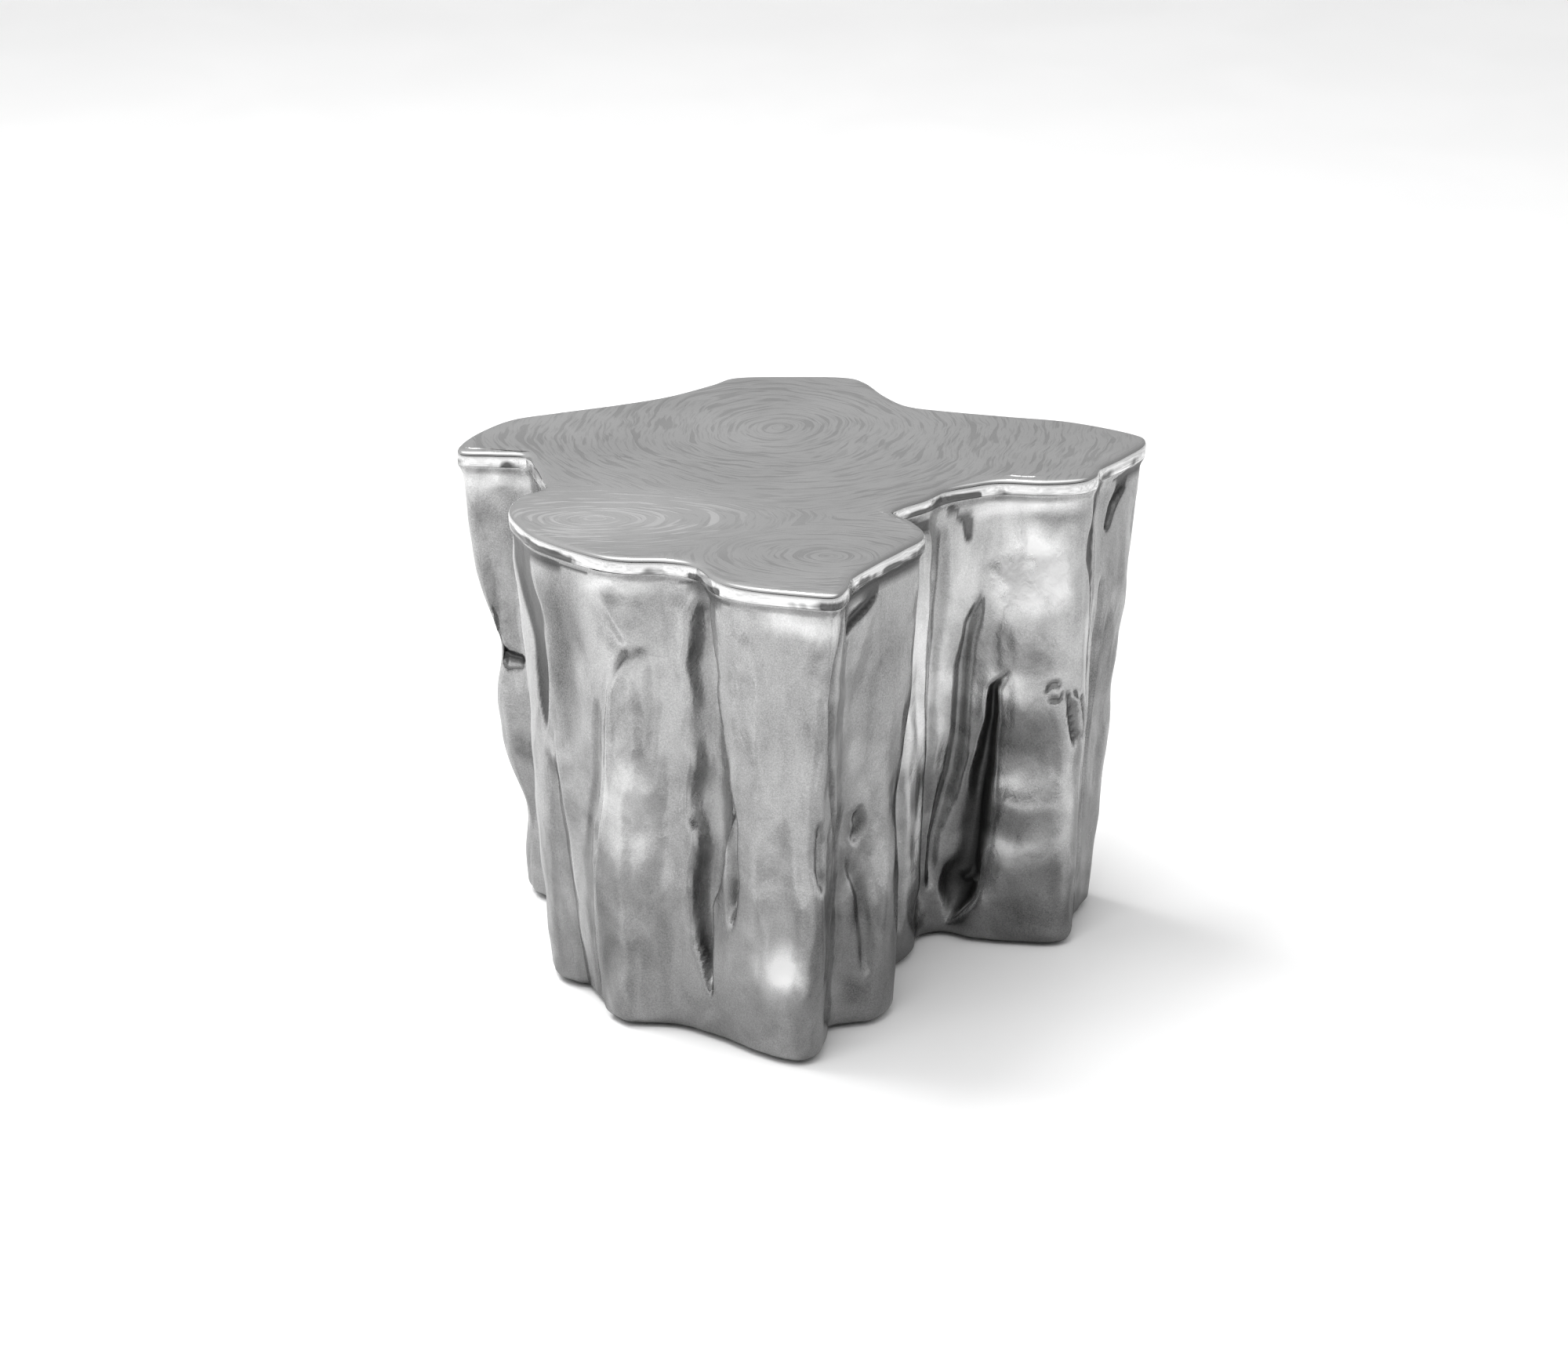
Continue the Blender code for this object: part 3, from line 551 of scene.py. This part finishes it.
# Top: the piths of its growth rings in the row frame, in millimetres, how stretched the rings are
# in X and Y, and how far out the rings of each have grown where they meet, in millimetres.
PITHS = (
    ((-24, 145), (0.92, 0.80), 0),
    ((-176, -113), (0.62, 1.35), 74),
    ((20, -209), (0.80, 1.10), 92),
)
RING_STRETCH = 4.5  # how many times longer than wide the rings' ripples are
RING_WANDER = ((10, 75, 1, 5.5), (3.0, 22, 1, 2.2))  # millimetres, lump size, stretch and seed
RING_RIPPLES = (34, 1, 9.9)
RING_RELIEF = 0.14  # millimetres
TOP_LUMPS = ((0.35, 80, 1, 4.4), (0.10, 16, 1, 6.1))
TOP_SINK = 0.45  # millimetres that keep the highest lump under the table's height
TOP_EDGE_RINGS = 8  # rows of points over which the unevenness sets in behind the lip
PAINTED_SHEEN_HALF_SIZE = (110 * MM, 65 * MM)  # the painted sheen, a highlight painted over the left front pith
STAR_CENTRE = np.array((-30, 30)) * MM  # every point of the outline can be seen from here
# The lip's section from its underside up, in millimetres: how far below the top, how far in from
# the outline, and the shares of the lip's polish and of the painted shade on its underside
LIP_SECTION = (
    (15.8, 0.7, 1, 1),
    (14.9, 0.3, 1, 1),
    (12.0, 0.1, 1, 1),
    (8.0, 0, 1, 0.2),
    (4.8, 0.15, 1, 0),
    (2.6, 0.9, 1, 0),
    (1.3, 2.2, 0.7, 0),
    (0.55, 4.6, 0.3, 0),
    (0.12, 8.5, 0.05, 0),
)
# Where painted shade darkens the lip's lower half, from one ridge position to another, how much
# painted shade it has elsewhere, and the distance over which that changes
LIP_SHADES = ((25.3, 27.9), (30.7, 32.2), (36.7, 40.4), (41.8, 46.3), (50.9, 53.4))
LIP_SHADE_LEAST = 0.3
LIP_SHADE_EDGE = 6 * MM


def ring_field(x, y):
    """Distance from the pith whose rings are here, in metres, with its head start added."""
    fields = []
    for (px, py), (sx, sy), start in PITHS:
        reach = np.hypot((x - px * MM) * sx, (y - py * MM) * sy)
        fields.append(reach + start * MM)
    return np.min(fields, axis=0)


def top_points():
    """The top as rows of points from under the lip to its middle, its ring field and its painted
    sheen.
    """
    outline = plain_outline(1)
    inward = -outward(outline)
    rows = []
    for down, inset, _, _ in LIP_SECTION:
        level = np.full(COLUMNS, TABLE_HEIGHT - down * MM)
        rows.append(np.column_stack([outline + inward * inset * MM, level]))
    edge = rows[-1][:, :2]
    for k in range(1, TOP_RINGS):
        spot = STAR_CENTRE + (edge - STAR_CENTRE) * (1 - k / TOP_RINGS)
        rows.append(np.column_stack([spot, np.full(COLUMNS, TABLE_HEIGHT)]))
    points = np.array(rows)
    x, y = points[..., 0], points[..., 1]
    wander = sum(amount * wave(points, *noise_shape) for amount, *noise_shape in RING_WANDER)
    field = ring_field(x, y) + wander * MM

    lip_rows = len(LIP_SECTION)
    flat = np.zeros(x.shape)
    flat[lip_rows:] = 1
    flat[lip_rows : lip_rows + TOP_EDGE_RINGS] = np.linspace(0.1, 0.9, TOP_EDGE_RINGS)[:, None]
    drawn = points.copy()
    drawn[..., 2] = field * RING_STRETCH
    ring = np.clip(0.5 + 1.4 * wave(drawn, *RING_RIPPLES), 0, 1)
    lumps = sum(amount * wave(points, *noise_shape) for amount, *noise_shape in TOP_LUMPS)
    points[..., 2] += (lumps - TOP_SINK - RING_RELIEF * ring) * MM * flat

    (px, py), _, _ = PITHS[1]
    across, deep = PAINTED_SHEEN_HALF_SIZE
    painted_sheen = np.exp(-(((x - px * MM) / across) ** 2) - ((y - py * MM) / deep) ** 2)
    return points, field, painted_sheen


def lip_shade():
    """How much painted shade the lip's underside has at each column."""
    shade = np.full(COLUMNS, LIP_SHADE_LEAST)
    for start, end in LIP_SHADES:
        inside = (run_of(end) - run_of(start)) / 2
        off = np.abs(across_from((run_of(start) + run_of(end)) / 2)) - inside
        shade = np.maximum(shade, smooth(0.5 - off / LIP_SHADE_EDGE))
    return shade


# Materials: tones are shares of white, from the darkest cloud to the brightest
BARK_TONES = (0.325, 0.455)
SPECKLE_TONE = 0.07
RECESS_SHADE_TONE = 0.28  # painted shade: what a recess leaves of the tone
BARK_ROUGHNESS = (0.16, 0.30)
RECESS_ROUGHNESS = 0.2
SHINE_ROUGHNESS = 0.10  # what the brightest painted highlights add, which spreads their reflections
SPECKLE_HEIGHT = 0.10
TOP_TONES = (0.69, 0.79)
TOP_GRAIN_TONE = 0.02
RING_MARK_TONE = 0.15  # how much darker a ring's marks are
PAINTED_SHEEN_LIFT = (0.12, 0.9)  # how much the painted sheen brightens the tone between the marks and on them
LIP_SHADE_BLOT = 0.85  # how much a blot of painted shade on the lip takes from the tone
TOP_ROUGHNESS = (0.40, 0.10)  # the flat, and the lip


def add_node(tree, kind, **values):
    node = tree.nodes.new(kind)
    for name, value in values.items():
        if name in node.inputs:
            node.inputs[name].default_value = value
        else:
            setattr(node, name, value)
    return node


def new_material(name, metallic, roughness):
    material = bpy.data.materials.new(name)
    material.use_nodes = True
    shader = material.node_tree.nodes["Principled BSDF"]
    shader.inputs["Metallic"].default_value = metallic
    shader.inputs["Roughness"].default_value = roughness
    return material, material.node_tree, shader


def object_noise(tree, scale, detail=4.0, distortion=0.0, stretch=(1, 1, 1)):
    """Noise in the object's own space, from 0 to 1."""
    coordinates = add_node(tree, "ShaderNodeTexCoord")
    mapping = add_node(tree, "ShaderNodeMapping")
    mapping.inputs["Scale"].default_value = stretch
    texture = add_node(
        tree, "ShaderNodeTexNoise", Scale=scale, Detail=detail, Distortion=distortion
    )
    tree.links.new(coordinates.outputs["Object"], mapping.inputs["Vector"])
    tree.links.new(mapping.outputs["Vector"], texture.inputs["Vector"])
    return texture.outputs["Fac"]


def remap(tree, value, low, high, to_low, to_high):
    node = add_node(tree, "ShaderNodeMapRange")
    for end, number, to_number in (("Min", low, to_low), ("Max", high, to_high)):
        node.inputs[f"From {end}"].default_value = number
        node.inputs[f"To {end}"].default_value = to_number
    tree.links.new(value, node.inputs["Value"])
    return node.outputs["Result"]


def combine(tree, operation, first, second):
    node = add_node(tree, "ShaderNodeMath", operation=operation)
    for socket, value in zip(node.inputs, (first, second)):
        if isinstance(value, (int, float)):
            socket.default_value = value
        else:
            tree.links.new(value, socket)
    return node.outputs[0]


def grey(tree, value, shader):
    """Feeds one number to the shader's colour as a grey."""
    node = add_node(tree, "ShaderNodeCombineColor")
    for channel in ("Red", "Green", "Blue"):
        tree.links.new(value, node.inputs[channel])
    tree.links.new(node.outputs["Color"], shader.inputs["Base Color"])


def add_bump(tree, height, shader, strength, distance):
    bump = add_node(tree, "ShaderNodeBump", Strength=strength, Distance=distance)
    tree.links.new(height, bump.inputs["Height"])
    tree.links.new(bump.outputs["Normal"], shader.inputs["Normal"])


def attribute(tree, name):
    node = add_node(tree, "ShaderNodeAttribute", attribute_name=name)
    return node.outputs["Fac"]


def polished_bark():
    """Hand-polished cast metal: bright, cloudy, finely speckled, with painted light and painted
    recess shade.
    """
    material, tree, shader = new_material("polished_bark", 1.0, 0.25)
    clouds = object_noise(tree, 22, 5, 1.6, (1, 1, 0.6))
    speckle = object_noise(tree, 800, 2)
    recess_shade, clouds_and_painted_light = attribute(tree, "recess_shade"), attribute(tree, "clouds_and_painted_light")
    tone = remap(tree, clouds, 0.3, 0.7, *BARK_TONES)
    # painted highlights and painted shade from the patches brighten or darken the tone
    tone = combine(tree, "MULTIPLY", tone, combine(tree, "ADD", clouds_and_painted_light, 1))
    tone = combine(tree, "ADD", tone, remap(tree, speckle, 0.3, 0.7, -SPECKLE_TONE, SPECKLE_TONE))
    # painted shade in the recesses takes from the tone
    tone = combine(tree, "MULTIPLY", tone, remap(tree, recess_shade, 0, 1, 1, RECESS_SHADE_TONE))
    grey(tree, combine(tree, "MINIMUM", tone, 1.0), shader)
    rough = remap(tree, clouds, 0.35, 0.7, *BARK_ROUGHNESS)
    rough = combine(tree, "ADD", rough, remap(tree, recess_shade, 0, 1, 0, RECESS_ROUGHNESS))
    rough = combine(tree, "ADD", rough, remap(tree, clouds_and_painted_light, 0.4, 1.6, 0, SHINE_ROUGHNESS))
    tree.links.new(rough, shader.inputs["Roughness"])
    buffing = object_noise(tree, 140, 4, 0.6, (1, 1, 0.7))
    height = combine(tree, "ADD", buffing, remap(tree, speckle, 0, 1, 0, SPECKLE_HEIGHT))
    add_bump(tree, height, shader, 0.22, 0.0012)
    return material


def ring_streaks(tree, along, across, offset):
    """Noise drawn out along the growth rings, from 0 to 1; along and across are lumps per metre."""
    coordinates = add_node(tree, "ShaderNodeTexCoord")
    split = add_node(tree, "ShaderNodeSeparateXYZ")
    joined = add_node(tree, "ShaderNodeCombineXYZ")
    tree.links.new(coordinates.outputs["Object"], split.inputs["Vector"])
    for axis in "XY":
        tree.links.new(combine(tree, "MULTIPLY", split.outputs[axis], along), joined.inputs[axis])
    field = combine(tree, "MULTIPLY", attribute(tree, "ring_field"), across)
    tree.links.new(combine(tree, "ADD", field, offset), joined.inputs["Z"])
    texture = add_node(tree, "ShaderNodeTexNoise", Scale=1.0, Detail=2.0, Roughness=0.4)
    tree.links.new(joined.outputs["Vector"], texture.inputs["Vector"])
    return texture.outputs["Fac"]


def ringed_top():
    """Satin cast metal with growth rings as broken streaks and a painted sheen, and a polished lip
    with blots of painted shade.
    """
    material, tree, shader = new_material("ringed_top", 1.0, 0.4)
    lip, painted_sheen, lip_underside_shade = (attribute(tree, name) for name in ("lip", "painted_sheen", "lip_underside_shade"))
    flat = remap(tree, lip, 0, 1, 1, 0)
    coarse = remap(tree, ring_streaks(tree, 22, 250, 0), 0.55, 0.62, 0, 1)
    fine = remap(tree, ring_streaks(tree, 42, 520, 9), 0.53, 0.64, 0, 1)
    mark = combine(tree, "MAXIMUM", coarse, combine(tree, "MULTIPLY", fine, 0.5))
    mark = combine(tree, "MULTIPLY", mark, flat)
    grain = object_noise(tree, 700, 2)
    clouds = object_noise(tree, 9, 3, 0.5)
    grain_tone = remap(tree, grain, 0.3, 0.7, -TOP_GRAIN_TONE, TOP_GRAIN_TONE)
    plain = combine(tree, "ADD", grain_tone, remap(tree, clouds, 0.3, 0.7, *TOP_TONES))
    # painted sheen: a highlight painted into the tone over the left front pith
    lift = combine(tree, "MULTIPLY", painted_sheen, flat)
    lift = combine(tree, "MULTIPLY", lift, remap(tree, coarse, 0, 1, *PAINTED_SHEEN_LIFT))
    tone = combine(tree, "ADD", plain, lift)
    tone = combine(tree, "SUBTRACT", tone, combine(tree, "MULTIPLY", mark, RING_MARK_TONE))
    tone = combine(tree, "MINIMUM", tone, 1)
    # blots of painted shade on the lip's underside
    shade_blots = object_noise(tree, 24, 3, 0.5)
    shade_blots = combine(tree, "ADD", shade_blots, combine(tree, "MULTIPLY", lip_underside_shade, 0.3))
    shade_blots = remap(tree, shade_blots, 0.60, 0.72, 0, LIP_SHADE_BLOT)
    shade_blots = combine(tree, "MULTIPLY", shade_blots, remap(tree, lip_underside_shade, 0, 0.2, 0, 1))
    grey(tree, combine(tree, "MULTIPLY", tone, combine(tree, "SUBTRACT", 1, shade_blots)), shader)
    tree.links.new(remap(tree, lip, 0, 1, *TOP_ROUGHNESS), shader.inputs["Roughness"])
    height = combine(tree, "SUBTRACT", combine(tree, "MULTIPLY", grain, 0.12), mark)
    add_bump(tree, combine(tree, "MULTIPLY", height, flat), shader, 0.6, 0.0006)
    return material


def simple_material(name, colour, metallic, roughness, grain_scale):
    """A material of one grey with a grain of its own in tone, roughness and height."""
    material, tree, shader = new_material(name, metallic, roughness)
    grain = object_noise(tree, grain_scale, 4)
    grey(tree, remap(tree, grain, 0.3, 0.7, 0.85 * colour, 1.15 * colour), shader)
    rough = remap(tree, grain, 0.3, 0.7, 0.85 * roughness, 1.15 * roughness)
    tree.links.new(rough, shader.inputs["Roughness"])
    add_bump(tree, grain, shader, 0.2, 0.0005)
    return material


# Pieces


def mesh_piece(name, rows, node, material, cap_last=False):
    """A lofted piece from rows of points, which stands in for a CAD node of the table's body."""
    count = rows.shape[1]
    column = np.arange(count)
    start = np.arange(len(rows) - 1)[:, None] * count
    low, low_next = start + column, start + (column + 1) % count
    corners = (low, low_next, low_next + count, low + count)
    faces = np.stack(corners, axis=-1).reshape(-1, 4).tolist()
    vertices = rows.reshape(-1, 3).tolist()
    if cap_last:
        vertices.append(rows[-1].mean(axis=0).tolist())
        top = (len(rows) - 1) * count
        faces += [[top + k, top + (k + 1) % count, len(vertices) - 1] for k in range(count)]
    mesh = bpy.data.meshes.new(name)
    mesh.from_pydata(vertices, [], faces)
    mesh.shade_smooth()
    mesh.materials.append(material)
    obj = bpy.data.objects.new(name, mesh)
    bpy.context.scene.collection.objects.link(obj)
    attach(obj, "table")
    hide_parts(node)
    return obj


def store(obj, name, values):
    """Keeps one number for each vertex, for a material to read."""
    padded = np.zeros(len(obj.data.vertices), np.float32)
    padded[: values.size] = values.reshape(-1)
    obj.data.attributes.new(name, "FLOAT", "POINT").data.foreach_set("value", padded)


# The wall's lower rim from outside to inside, in millimetres: how far up, and how far in
RIM_SECTION = ((0.0, 1.0), (0.0, 4.5), (3.0, 5.2), (14.0, 5.5))


def make_wall():
    points, dark, clouds_and_painted_light = wall_points()
    foot = points[0][:, :2]
    inward = -outward(foot)
    rim = []
    for up, inset in RIM_SECTION[::-1]:
        level = np.full(COLUMNS, WALL_FOOT + up * MM)
        rim.append(np.column_stack([foot + inward * inset * MM, level]))
    rows = np.concatenate([np.array(rim), points])
    material = polished_bark()
    obj = mesh_piece("bark_wall_skin", rows, "bark_wall", material)
    bare = np.zeros((len(rim), COLUMNS))
    store(obj, "recess_shade", np.concatenate([bare, dark]))
    store(obj, "clouds_and_painted_light", np.concatenate([bare, clouds_and_painted_light]))


def make_top():
    points, field, painted_sheen = top_points()
    material = ringed_top()
    obj = mesh_piece(
        "ringed_top_slab", points, "top_slab", material, cap_last=True
    )
    lip, side = np.zeros(field.shape), np.zeros(field.shape)
    shade = lip_shade()
    for row, (_, _, polish, shaded) in enumerate(LIP_SECTION):
        lip[row] = polish
        side[row] = shaded * shade
    store(obj, "ring_field", field)
    store(obj, "lip", lip)
    store(obj, "painted_sheen", painted_sheen)
    store(obj, "lip_underside_shade", side)


def dress_cad_nodes():
    """Gives the nodes that keep their CAD shape their metals, wood and plastic."""
    zinc = simple_material("zinc_plate", 0.6, 1.0, 0.32, 400)
    looks = (
        ("base_board", simple_material("black_plywood", 0.03, 0.0, 0.75, 120)),
        ("base_block", simple_material("raw_casting", 0.45, 1.0, 0.5, 300)),
        ("base_washer", zinc),
        ("base_screw", zinc),
        ("foot_nut", zinc),
        ("foot_stud", zinc),
        ("foot_pad", simple_material("black_nylon", 0.02, 0.0, 0.5, 500)),
    )
    for name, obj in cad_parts.items():
        for start, material in looks:
            if name.startswith(start):
                obj.data.materials.clear()
                obj.data.materials.append(material)


# Studio, in metres and watts
CAMERA_TILT = math.radians(21)
CAMERA_DISTANCE = 4.5
CAMERA_LENS = 115  # millimetres, on a sensor 36 mm wide
CAMERA_SHIFT = (-0.01, 0.015)
KEY = ((-1.15, 0.6, 2.7), (0, 0, 0.2), (1.8, 1.8), 86)  # place, aim, size and power
FRONT_BOX = ((-0.5, -1.5, 2.7), (0, 0, 0.3), (1.4, 0.5), 20)
BACKDROP = 0.72  # the plain pale wall behind the floor
BANK_STRENGTH = 1.1
HORIZON_DARKNESS = 0.42
FLOOR_GREY = (0.94, 0.94, 0.94, 1)
FLOOR_SIZE = 24


def make_camera():
    """A long lens, looking down at the table from the front."""
    data = bpy.data.cameras.new("camera")
    data.sensor_width = 36
    data.lens = CAMERA_LENS
    data.shift_x, data.shift_y = CAMERA_SHIFT
    data.clip_end = 50
    camera = bpy.data.objects.new("camera", data)
    bpy.context.scene.collection.objects.link(camera)
    target = Vector((-CENTRE[0], -CENTRE[1], TABLE_HEIGHT / 2))
    back = Vector((0, -math.cos(CAMERA_TILT), math.sin(CAMERA_TILT)))
    camera.location = target + back * CAMERA_DISTANCE
    camera.rotation_euler = (math.pi / 2 - CAMERA_TILT, 0, 0)
    bpy.context.scene.camera = camera


def area_light(name, place, aim, size, power, in_reflections):
    """A soft box at a place, turned to an aim point, which the metal mirrors or doesn't."""
    data = bpy.data.lights.new(name, "AREA")
    data.shape = "RECTANGLE"
    data.size, data.size_y = size
    data.energy = power
    light = bpy.data.objects.new(name, data)
    light.location = place
    light.visible_glossy = in_reflections
    light.rotation_euler = (Vector(aim) - Vector(place)).to_track_quat("-Z", "Y").to_euler()
    bpy.context.scene.collection.objects.link(light)


def make_world():
    """What the metal mirrors, a grey studio with a bright bank and a dark horizon in front.

    The sky is brighter to the left. The camera itself sees a plain pale backdrop instead.
    """
    world = bpy.data.worlds.new("studio")
    bpy.context.scene.world = world
    world.use_nodes = True
    tree = world.node_tree
    background = tree.nodes["Background"]
    background.inputs["Color"].default_value = (1, 1, 1, 1)
    coordinates = add_node(tree, "ShaderNodeTexCoord")
    split = add_node(tree, "ShaderNodeSeparateXYZ")
    tree.links.new(coordinates.outputs["Generated"], split.inputs["Vector"])
    x, y, z = (split.outputs[name] for name in "XYZ")
    front = remap(tree, y, -0.5, 0.1, 1, 0)
    dark = combine(tree, "MULTIPLY", front, remap(tree, z, 0.04, 0.14, HORIZON_DARKNESS, 0))
    bank_foot, bank_head = remap(tree, z, 0.42, 0.62, 0, 1), remap(tree, z, 0.8, 0.95, 1, 0.6)
    bank = combine(tree, "MULTIPLY", front, combine(tree, "MULTIPLY", bank_foot, bank_head))
    sky = combine(tree, "SUBTRACT", remap(tree, z, 0.0, 0.9, 0.46, 0.60), dark)
    sky = combine(tree, "ADD", sky, combine(tree, "MULTIPLY", bank, BANK_STRENGTH))
    sky = combine(tree, "MULTIPLY", sky, remap(tree, x, -0.9, 0.9, 1.2, 0.65))
    seen = add_node(tree, "ShaderNodeLightPath").outputs["Is Camera Ray"]
    mirrored = combine(tree, "MULTIPLY", sky, combine(tree, "SUBTRACT", 1, seen))
    total = combine(tree, "ADD", mirrored, combine(tree, "MULTIPLY", seen, BACKDROP))
    tree.links.new(total, background.inputs["Strength"])


def make_floor():
    """A plain white floor, and over it one with painted light and shade that only the metal's
    reflections see.
    """
    for name, height, reflected in (("floor", 0, False), ("floor_in_reflections", 0.5 * MM, True)):
        bpy.ops.mesh.primitive_plane_add(size=FLOOR_SIZE, location=(0, 0, height))
        floor = bpy.context.object
        floor.name = name
        material, tree, shader = new_material(name, 0.0, 0.9)
        floor.data.materials.append(material)
        floor.visible_camera = not reflected
        floor.visible_diffuse = not reflected
        floor.visible_shadow = not reflected
        floor.visible_glossy = reflected
        if reflected:
            # painted light and shade for the metal to mirror: streaks brighter and darker than the
            # white floor
            streaks = remap(tree, object_noise(tree, 4.0, 3, 1.0), 0.35, 0.65, 0.6, 1.2)
            coordinates = add_node(tree, "ShaderNodeTexCoord")
            reach = add_node(tree, "ShaderNodeVectorMath", operation="LENGTH")
            tree.links.new(coordinates.outputs["Object"], reach.inputs[0])
            # painted shadow: the mirrored floor darkens towards the table, standing in for its
            # shadow
            painted_contact_shadow = remap(tree, reach.outputs["Value"], 0.3, 1.0, 0.5, 0.92)
            grey(tree, combine(tree, "MULTIPLY", streaks, painted_contact_shadow), shader)
        else:
            shader.inputs["Base Color"].default_value = FLOOR_GREY


make_camera()
make_world()
make_floor()
area_light("key", *KEY, in_reflections=False)
area_light("front_box", *FRONT_BOX, in_reflections=True)
make_wall()
make_top()
dress_cad_nodes()
bpy.context.scene.view_settings.view_transform = "Standard"
